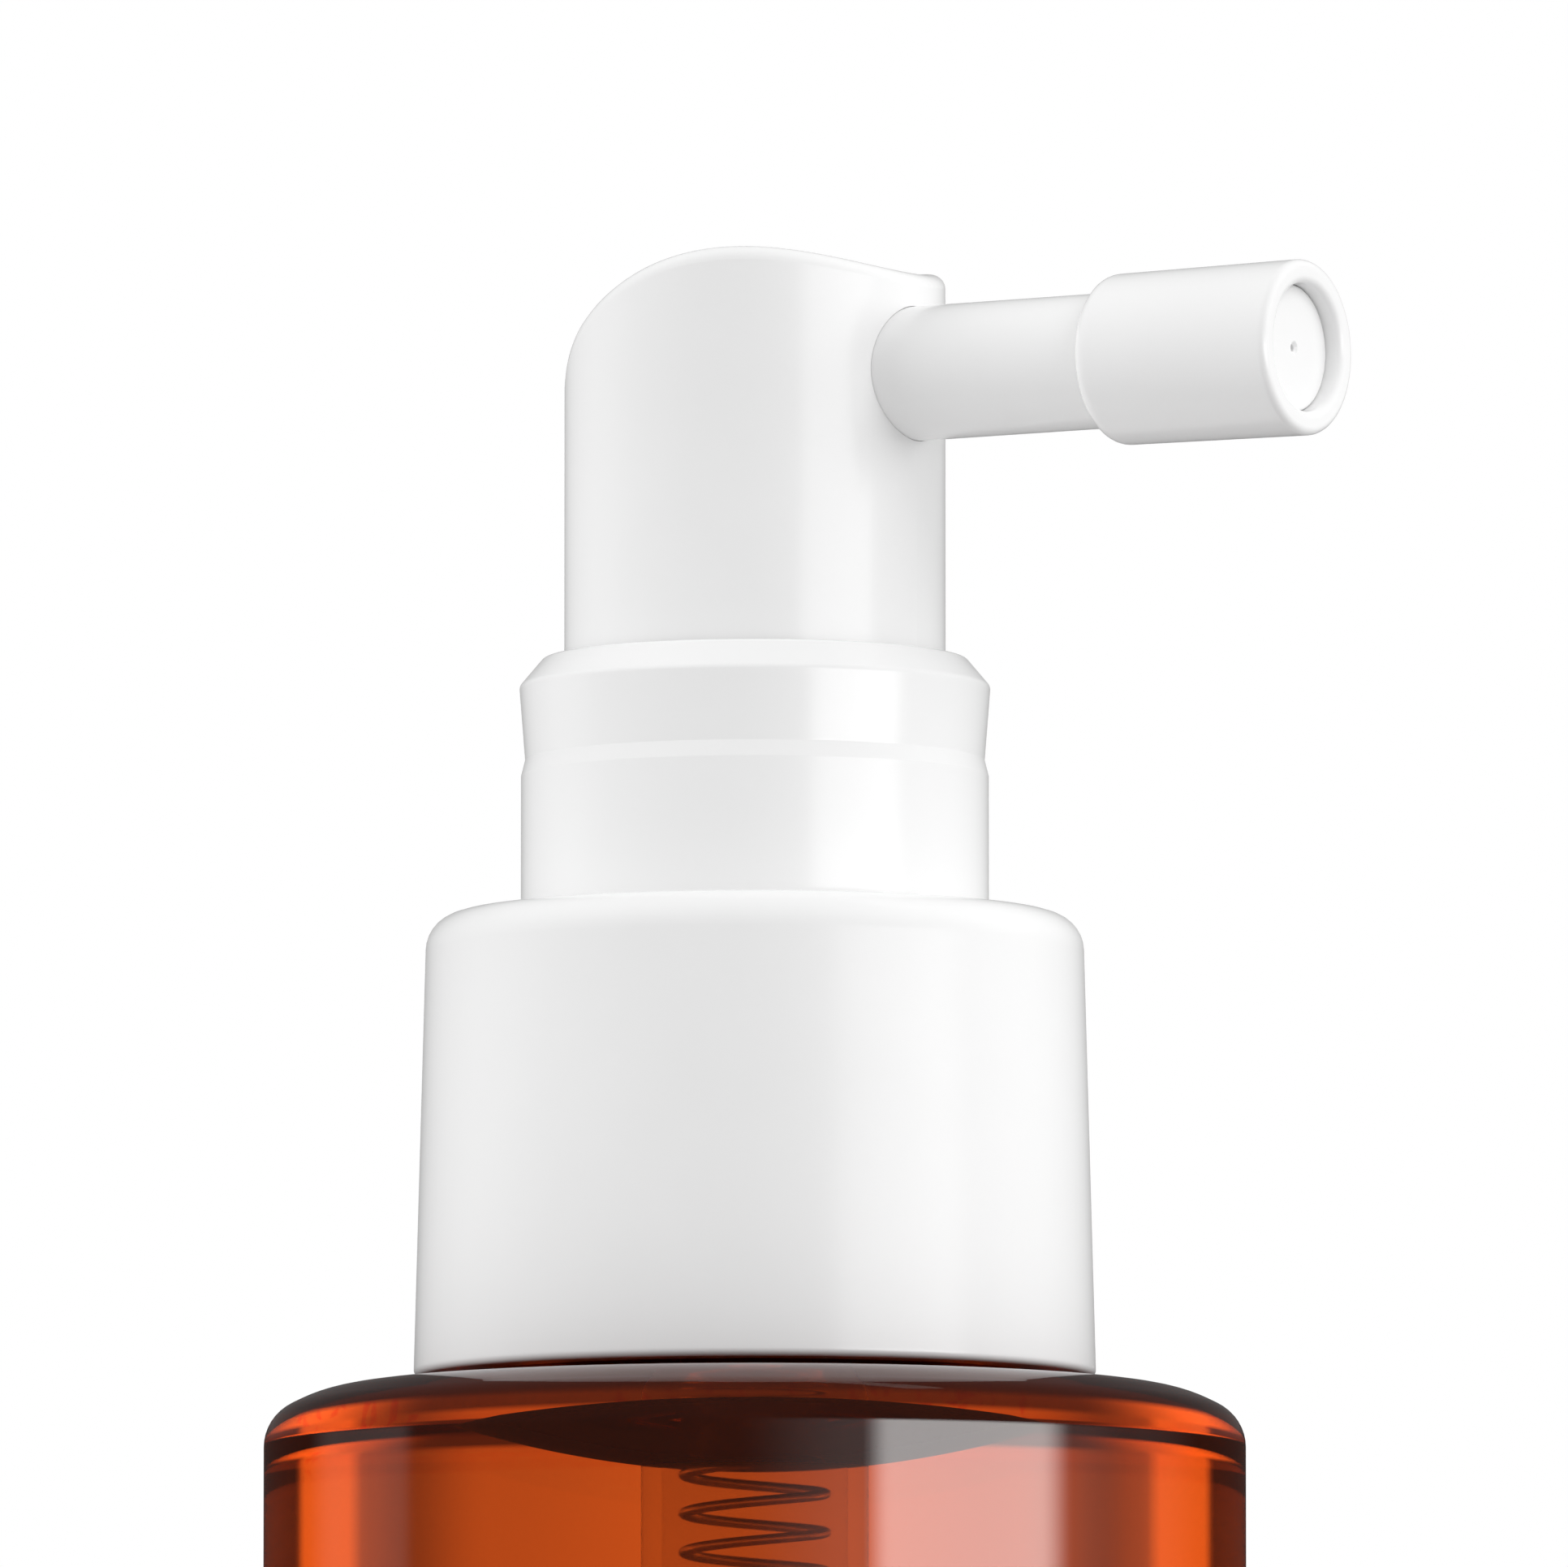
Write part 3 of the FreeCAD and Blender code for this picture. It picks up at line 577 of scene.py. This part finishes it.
def clear_finish(name, colour, depth, density, index, clear, neck=None):
    """Clear tinted stuff: refraction at the faces that meet air, and absorption inside.

    Where the mesh attribute wetted is 1, glass and oil touch. They bend light alike, so the face lets it
    straight on.
    """
    material, tree, shader, output = material_nodes(name)
    colours = cloudy(tree, colour, CLEAR_CLOUDS)
    # Given a neck colour, painted shade darkens the faces that the piece's mesh attribute marks
    if neck:
        colours = painted_shade_mix(tree, colours, neck)
    tree.links.new(colours, shader.inputs["Base Color"])
    shader.inputs["Roughness"].default_value = 0.0
    shader.inputs["IOR"].default_value = index
    shader.inputs["Transmission Weight"].default_value = clear
    shader.inputs["Specular IOR Level"].default_value = 0.0
    dry = worked_out(tree, "SUBTRACT", 1.0, marked(tree, "wetted"))
    tree.links.new(dry, shader.inputs["Alpha"])
    absorption = tree.nodes.new("ShaderNodeVolumeAbsorption")
    absorption.inputs["Color"].default_value = (*depth, 1)
    absorption.inputs["Density"].default_value = density
    tree.links.new(absorption.outputs["Volume"], output.inputs["Volume"])
    return material


def moulded_finish(name, colour, roughness):
    """Moulded plastic or rubber: a faint unevenness of colour, one gloss and a fine grain."""
    look = bpy.context.scene.oil_bottle.finish
    material, tree, shader, output = material_nodes(name)
    tree.links.new(cloudy(tree, colour, MOULDED_CLOUDS), shader.inputs["Base Color"])
    shader.inputs["Roughness"].default_value = roughness
    shader.inputs["IOR"].default_value = look.plastic_index
    shader.inputs["Specular IOR Level"].default_value = look.plastic_shine
    fine_grain(tree, shader, MOULDED_GRAIN)
    return material


def half_clear_finish(name, look):
    """Undyed plastic in oil: it hides in part, and bends light hardly more than the oil round it."""
    material, tree, shader, output = material_nodes(name)
    tree.links.new(cloudy(tree, look.natural, NATURAL_CLOUDS), shader.inputs["Base Color"])
    shader.inputs["Roughness"].default_value = look.natural_roughness
    shader.inputs["IOR"].default_value = look.natural_index
    shader.inputs["Transmission Weight"].default_value = look.natural_clear
    return material


def metal_finish(name, colour, roughness):
    """Bare metal with a faint unevenness from drawing or polishing."""
    material, tree, shader, output = material_nodes(name)
    tree.links.new(cloudy(tree, colour, METAL_CLOUDS), shader.inputs["Base Color"])
    shader.inputs["Metallic"].default_value = 1.0
    shader.inputs["Roughness"].default_value = roughness
    fine_grain(tree, shader, METAL_GRAIN)
    return material


def finish_of(slot):
    """The material of one of the record's slots, made the first time that it is asked for."""
    name = slot + "_finish"
    if name in bpy.data.materials:
        return bpy.data.materials[name]
    look = bpy.context.scene.oil_bottle.finish
    if slot == "amber_glass":
        inside = (look.glass_depth, look.glass_density, look.glass_index)
        # The glass takes painted shade in its dry bore and on its crown
        return clear_finish(name, look.glass, *inside, look.glass_clear, look.glass_painted_shade)
    if slot == "white_plastic":
        return moulded_finish(name, look.white, look.white_roughness)
    if slot == "natural_plastic":
        return half_clear_finish(name, look)
    if slot == "soft_seal":
        return moulded_finish(name, look.seal, look.seal_roughness)
    if slot == "spring_steel":
        return metal_finish(name, look.steel, look.wire_roughness)
    return metal_finish(name, look.steel, look.ball_roughness)


# Operators

class PieceOperator:
    """What every operator of this file shares."""

    bl_options = {"REGISTER", "UNDO"}


class OILBOTTLE_OT_bottle(PieceOperator, bpy.types.Operator):
    """Blow the amber bottle with its screw thread"""

    bl_idname = "oilbottle.bottle"
    bl_label = "Bottle"

    def execute(self, context):
        sizes = context.scene.oil_bottle.bottle
        under, wall, over = glass_outlines(sizes)
        outline = np.concatenate([under, wall, over])
        points = turned(outline, COLUMNS)
        on_neck = np.abs(outline[:, 0] - sizes.neck) < SAME_PLACE
        ridge = thread_ridge(points, sizes, sizes.shoulder + sizes.thread_start)
        out = 1 + ridge * on_neck[:, None] * sizes.thread_height / sizes.neck
        points[..., :2] *= out[..., None]
        bottle = surface("amber_bottle", points, ring=False, ends=True)
        inside = np.arange(len(outline)) > len(under) + np.argmax(wall[:, 1])
        wet = inside & (outline[:, 1] < sizes.oil_level + sizes.oil_climb)
        crown = ~inside & (outline[:, 1] > sizes.shoulder - sizes.slope_drop)
        # Painted shade: the dry bore takes the dark colour in full, and the crown's outer face a share of it
        painted_shade = np.where(inside & ~wet, 1, sizes.crown_painted_shade * crown)
        mark(bottle, "wetted", np.append(np.repeat(wet, COLUMNS), [False, True]))
        mark(bottle, "painted_shade", np.append(np.repeat(painted_shade, COLUMNS), [0, 0]))
        settle(bottle, "bottle", "amber_glass")
        return {"FINISHED"}


class OILBOTTLE_OT_oil(PieceOperator, bpy.types.Operator):
    """Fill the bottle with oil up to its shoulder"""

    bl_idname = "oilbottle.oil"
    bl_label = "Oil"

    def execute(self, context):
        look = context.scene.oil_bottle.finish
        top, skin = oil_outlines(context.scene.oil_bottle.bottle)
        outline = np.concatenate([top, skin])
        oil = surface("oil_fill", turned(outline, COLUMNS), ring=False, ends=True)
        wet = np.arange(len(outline)) >= len(top)
        mark(oil, "wetted", np.append(np.repeat(wet, COLUMNS), [False, True]))
        # The oil keeps its own colour, and its top takes a near-black painted shade
        finishes = (
            ("massage_oil", look.oil, look.oil_clear),
            ("painted_shade_oil_top", look.oil_top_painted_shade, look.oil_top_painted_shade_clear),
        )
        for name, colour, clear in finishes:
            finish = clear_finish(name, colour, look.oil_depth, look.oil_density, look.oil_index, clear)
            oil.data.materials.append(finish)
        # The top's bands of faces come first, and the fan in its middle is the last but one: these faces
        # take the painted shade
        painted_shade_faces = np.zeros(len(oil.data.polygons), np.int32)
        painted_shade_faces[:len(top) * COLUMNS] = 1
        painted_shade_faces[-2 * COLUMNS:-COLUMNS] = 1
        oil.data.polygons.foreach_set("material_index", painted_shade_faces)
        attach(oil, "bottle")
        return {"FINISHED"}


class OILBOTTLE_OT_collar(PieceOperator, bpy.types.Operator):
    """Mould the screw collar with its guide and inner thread"""

    bl_idname = "oilbottle.collar"
    bl_label = "Screw collar"

    def execute(self, context):
        sizes = context.scene.oil_bottle.pump
        thread = context.scene.oil_bottle.bottle
        foot, top = COLLAR_LOW.z, COLLAR_HIGH.z
        underside = sizes.deck - sizes.deck_wall
        outline = rounded_outline([
            (COLLAR_HIGH.x, foot, sizes.edge_round, COARSE),
            (sizes.skirt_top, sizes.deck, sizes.deck_round, COARSE),
            (sizes.guide, sizes.deck, sizes.edge_round, COARSE),
            (sizes.guide, sizes.guide_step, 0, COARSE),
            (sizes.waist, sizes.waist_height, 0, COARSE),
            (sizes.bead, sizes.bead_height, sizes.edge_round, COARSE),
            (sizes.lip, top, sizes.edge_round, COARSE),
            (sizes.guide_bore, top, sizes.edge_round / 2, COARSE),
            (sizes.guide_bore, sizes.deck, 0, COARSE),
            (sizes.deck_hole, sizes.deck, 0, COARSE),
            (sizes.deck_hole, underside, 0, COARSE),
            (sizes.skirt_bore, underside, sizes.edge_round, FINE),
            (sizes.skirt_bore, foot, sizes.edge_round / 2, COARSE),
        ])
        points = turned(outline, COLUMNS)
        in_bore = np.abs(outline[:, 0] - sizes.skirt_bore) < SAME_PLACE
        start = thread.shoulder + thread.thread_start + thread.thread_pitch / 2
        ridge = thread_ridge(points, thread, start)
        inward = 1 - ridge * in_bore[:, None] * thread.thread_height / sizes.skirt_bore
        points[..., :2] *= inward[..., None]
        collar = surface("pump_collar", points)
        settle(collar, "screw_collar", "white_plastic")
        return {"FINISHED"}


class OILBOTTLE_OT_nozzle(PieceOperator, bpy.types.Operator):
    """Turn the long nozzle tube, its tip sleeve and the swirl insert"""

    bl_idname = "oilbottle.nozzle"
    bl_label = "Nozzle pieces"

    def execute(self, context):
        sizes = context.scene.oil_bottle.pump
        height = (TUBE_LOW.z + TUBE_HIGH.z) / 2
        tube, insert = TUBE_HIGH.y, INSERT_HIGH.y
        grip, seat = tube + sizes.fit, insert + sizes.fit
        cone = INSERT_HIGH.x - sizes.orifice_cone + sizes.orifice
        inner = INSERT_HIGH.x - sizes.insert_face
        profiles = {
            "nozzle_tube": [
                (sizes.tube_bore, TUBE_LOW.x, 0, COARSE),
                (tube, TUBE_LOW.x, 0, COARSE),
                (tube, TUBE_HIGH.x, 0, COARSE),
                (sizes.tube_bore, TUBE_HIGH.x, 0, COARSE),
            ],
            "nozzle_sleeve": [
                (grip, SLEEVE_LOW.x, 0, COARSE),
                (sizes.sleeve_rear, SLEEVE_LOW.x, sizes.sleeve_rear_round, COARSE),
                (SLEEVE_HIGH.y, SLEEVE_HIGH.x, sizes.sleeve_tip_round, COARSE),
                (seat, SLEEVE_HIGH.x, sizes.sleeve_tip_round, COARSE),
                (seat, TUBE_HIGH.x, 0, COARSE),
                (grip, TUBE_HIGH.x, 0, COARSE),
            ],
            "swirl_insert": [
                (insert - sizes.insert_wall, INSERT_LOW.x, 0, COARSE),
                (insert, INSERT_LOW.x, 0, COARSE),
                (insert, INSERT_HIGH.x, sizes.orifice, COARSE),
                (sizes.orifice_cone, INSERT_HIGH.x, 0, COARSE),
                (sizes.orifice, cone, 0, COARSE),
                (sizes.orifice, inner, 0, COARSE),
                (insert - sizes.insert_wall, inner, 0, COARSE),
            ],
        }
        for node, corners in profiles.items():
            points = laid_along_x(turned(rounded_outline(corners), FINE_COLUMNS), height)
            piece = surface("pump_" + node, points)
            settle(piece, node, "white_plastic")
        return {"FINISHED"}


class OILBOTTLE_OT_spring(PieceOperator, bpy.types.Operator):
    """Wind the return spring as it stands at rest"""

    bl_idname = "oilbottle.spring"
    bl_label = "Return spring"

    def execute(self, context):
        sizes = context.scene.oil_bottle.pump
        line, outward = spring_coil(sizes)
        way = np.gradient(line, axis=0)
        way /= np.linalg.norm(way, axis=1, keepdims=True)
        side = np.cross(way, outward)
        around = np.linspace(0, 2 * math.pi, WIRE_SIDES, endpoint=False)[:, None]
        ring = outward[:, None] * np.cos(around) + side[:, None] * np.sin(around)
        spring = surface("pump_spring", line[:, None] + ring * sizes.wire, ring=False, ends=True)
        settle(spring, "return_spring", "spring_steel")
        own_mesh(spring)
        return {"FINISHED"}


class OILBOTTLE_OT_inner_pieces(PieceOperator, bpy.types.Operator):
    """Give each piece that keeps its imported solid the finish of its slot"""

    bl_idname = "oilbottle.inner_pieces"
    bl_label = "Finishes of the other pieces"

    def execute(self, context):
        for part in frame["record"]["subparts"]:
            node = frame["nodes"][part["node"]]
            if node.hide_render:
                continue
            node.data.materials.clear()
            node.data.materials.append(finish_of(part["material_slot"]))
        return {"FINISHED"}


# Where each lamp stands: how far towards the camera, to the right and up
KEY_PLACE = (0.5, 0.65, 0.6)
FILL_PLACE = (-0.1, -0.95, 0.2)
RIM_PLACE = (-0.2, 0.95, 0.15)

# Brightness round the studio by heading in degrees, from the camera's side towards its right
GLOSS_STUDIO = (
    (-180, 0.03), (-130, 0.03), (-115, 0.4), (-92, 0.6), (-86, 0.1), (-5, 0.1), (25, 0.8), (32, 8.0),
    (70, 8.0), (80, 0.6), (100, 0.3), (130, 0.03), (180, 0.03),
)
GLASS_STUDIO = (
    (-180, 0.65), (-158, 0.5), (-147, 0.22), (-140, 0.35), (-136, 1.0), (-124, 1.0), (-120, 0.03),
    (-84, 0.03), (-78, 0.6), (78, 0.6), (84, 0.03), (120, 0.03), (124, 1.0), (136, 1.0), (140, 0.35),
    (147, 0.22), (158, 0.5), (180, 0.65),
)
GLASS_STUDIO_LOW = (
    (-180, 0.1), (-150, 0.08), (-122, 1.5), (-100, 0.6), (100, 0.6), (122, 1.5), (150, 0.08), (180, 0.1),
)
FULL_TURN = 360


class OILBOTTLE_OT_stage(PieceOperator, bpy.types.Operator):
    """Set up the floor, the soft light and the camera"""

    bl_idname = "oilbottle.stage"
    bl_label = "Studio"

    def execute(self, context):
        scene = context.scene
        studio = scene.oil_bottle.studio
        scene.view_settings.view_transform = "Standard"
        towards = Vector((math.sin(studio.azimuth), -math.cos(studio.azimuth), 0))
        right = Vector((math.cos(studio.azimuth), math.sin(studio.azimuth), 0))
        self.add_floor(scene, studio)
        lamps = (
            ("key", studio.key_strength, KEY_PLACE),
            ("fill", studio.fill_strength, FILL_PLACE),
            ("rim", studio.rim_strength, RIM_PLACE),
        )
        for name, strength, (near, aside, high) in lamps:
            place = towards * near + right * aside + Vector((0, 0, high))
            self.add_lamp(scene, studio, name, strength, place)
        self.add_world(scene, studio, towards, right)
        self.add_camera(scene, studio, towards, right)
        return {"FINISHED"}

    def add_floor(self, scene, studio):
        """A wide pale plane just under the foot."""
        mesh = bpy.data.meshes.new("studio_floor")
        reach, low = studio.floor_reach, -studio.floor_gap
        corners = [(-reach, -reach, low), (reach, -reach, low), (reach, reach, low), (-reach, reach, low)]
        mesh.from_pydata(corners, [], [(0, 1, 2, 3)])
        floor = bpy.data.objects.new("studio_floor", mesh)
        scene.collection.objects.link(floor)
        material, tree, shader, output = material_nodes("studio_floor")
        tree.links.new(cloudy(tree, studio.floor, FLOOR_CLOUDS), shader.inputs["Base Color"])
        shader.inputs["Roughness"].default_value = studio.floor_roughness
        mesh.materials.append(material)
        floor.visible_glossy = False
        floor.visible_transmission = False

    def add_lamp(self, scene, studio, name, strength, place):
        """A wide soft lamp so far away that it lights the floor evenly."""
        lamp = bpy.data.lights.new(name, "SUN")
        lamp.angle = studio.lamp_spread
        lamp.energy = strength
        holder = bpy.data.objects.new(name, lamp)
        scene.collection.objects.link(holder)
        holder.location = place
        holder.rotation_euler = (-place).to_track_quat("-Z", "Y").to_euler()
        holder.visible_glossy = False
        holder.visible_transmission = False

    def add_camera(self, scene, studio, towards, right):
        """A far camera with a long lens that looks up a little at the pump."""
        camera = bpy.data.objects.new("camera", bpy.data.cameras.new("camera"))
        scene.collection.objects.link(camera)
        camera.data.lens = studio.lens
        camera.data.clip_start = studio.clip_start
        aside = right * studio.aim_right
        aim = aside + Vector((0, 0, studio.aim_height))
        camera.location = aside + towards * studio.distance + Vector((0, 0, studio.eye_height))
        camera.rotation_euler = (aim - camera.location).to_track_quat("-Z", "Y").to_euler()
        scene.camera = camera

    def add_world(self, scene, studio, towards, right):
        """White behind the object, soft light all round, and softboxes that gloss and glass show."""
        world = bpy.data.worlds.new("studio")
        scene.world = world
        world.use_nodes = True
        world.cycles.sampling_method = "NONE"
        tree = world.node_tree
        tree.nodes.clear()
        output = tree.nodes.new("ShaderNodeOutputWorld")
        background = tree.nodes.new("ShaderNodeBackground")
        background.inputs["Color"].default_value = (1, 1, 1, 1)
        tree.links.new(background.outputs["Background"], output.inputs["Surface"])
        ray = tree.nodes.new("ShaderNodeTexCoord").outputs["Generated"]
        turn = self.heading(tree, ray, towards, right)
        split = tree.nodes.new("ShaderNodeSeparateXYZ")
        tree.links.new(ray, split.inputs["Vector"])
        steep = split.outputs["Z"]
        rising = between(tree, steep, studio.level_reach, studio.steep_reach)
        falling = between(tree, steep, -studio.level_reach, -studio.steep_reach)
        sinking = between(tree, steep, -studio.gloss_low, -studio.plunge_start)
        plunging = between(tree, steep, -studio.plunge_start, -studio.plunge_end)
        gloss = self.brightness(tree, turn, GLOSS_STUDIO)
        gloss = blend(tree, rising, gloss, studio.gloss_ceiling)
        gloss = blend(tree, sinking, gloss, studio.gloss_ceiling)
        glass = self.brightness(tree, turn, GLASS_STUDIO)
        glass = blend(tree, rising, glass, studio.glass_ceiling)
        glass = blend(tree, falling, glass, self.brightness(tree, turn, GLASS_STUDIO_LOW))
        glass = blend(tree, plunging, glass, studio.glass_floor)
        path = tree.nodes.new("ShaderNodeLightPath")
        level = blend(tree, path.outputs["Is Glossy Ray"], studio.world_level, gloss)
        level = blend(tree, path.outputs["Is Transmission Ray"], level, glass)
        level = blend(tree, path.outputs["Is Camera Ray"], level, 1.0)
        tree.links.new(level, background.inputs["Strength"])

    def heading(self, tree, ray, towards, right):
        """Heading of a ray as a share of a full turn: 0.5 on the camera's side, and more to its right."""
        sides = []
        for axis in (right, towards):
            dot = tree.nodes.new("ShaderNodeVectorMath")
            dot.operation = "DOT_PRODUCT"
            dot.inputs[1].default_value = axis
            tree.links.new(ray, dot.inputs[0])
            sides.append(dot.outputs["Value"])
        radians = worked_out(tree, "ARCTAN2", *sides)
        return worked_out(tree, "MULTIPLY_ADD", radians, 1 / (2 * math.pi), 0.5)

    def brightness(self, tree, turn, stops):
        """Brightness along the heading: a ramp through stops of degrees and level, scaled by the highest."""
        top = max(level for degrees, level in stops)
        ramp = tree.nodes.new("ShaderNodeValToRGB")
        ramp.color_ramp.interpolation = "EASE"
        elements = ramp.color_ramp.elements
        while len(elements) < len(stops):
            elements.new(0.5)
        for element, (degrees, level) in zip(elements, stops):
            element.position = degrees / FULL_TURN + 0.5
            element.color = (level / top, level / top, level / top, 1)
        tree.links.new(turn, ramp.inputs["Fac"])
        return worked_out(tree, "MULTIPLY", ramp.outputs["Color"], top)


class OILBOTTLE_PT_panel(bpy.types.Panel):
    """Lists the pieces of the bottle in the order in which they are made"""

    bl_idname = "OILBOTTLE_PT_panel"
    bl_label = "Oil bottle"
    bl_space_type = "VIEW_3D"
    bl_region_type = "UI"
    bl_category = "Oil bottle"

    def draw(self, context):
        for operator in OPERATORS:
            self.layout.operator(operator.bl_idname)


OPERATORS = (
    OILBOTTLE_OT_bottle,
    OILBOTTLE_OT_oil,
    OILBOTTLE_OT_collar,
    OILBOTTLE_OT_nozzle,
    OILBOTTLE_OT_spring,
    OILBOTTLE_OT_inner_pieces,
    OILBOTTLE_OT_stage,
)
CLASSES = (BottleSizes, PumpSizes, Finishes, Studio, OilBottle, *OPERATORS, OILBOTTLE_PT_panel)


def register():
    """Makes the settings and the operators known to Blender."""
    for each in CLASSES:
        bpy.utils.register_class(each)
    bpy.types.Scene.oil_bottle = PointerProperty(
        name="Oil bottle", description="Sizes, finishes and light of the oil bottle", type=OilBottle)


def unregister():
    """Takes the settings and the operators away again."""
    del bpy.types.Scene.oil_bottle
    for each in reversed(CLASSES):
        bpy.utils.unregister_class(each)


def main():
    """Makes every piece and the studio in order."""
    register()
    for operator in OPERATORS:
        group, name = operator.bl_idname.split(".")
        getattr(getattr(bpy.ops, group), name)()


if __name__ == "__main__":
    main()
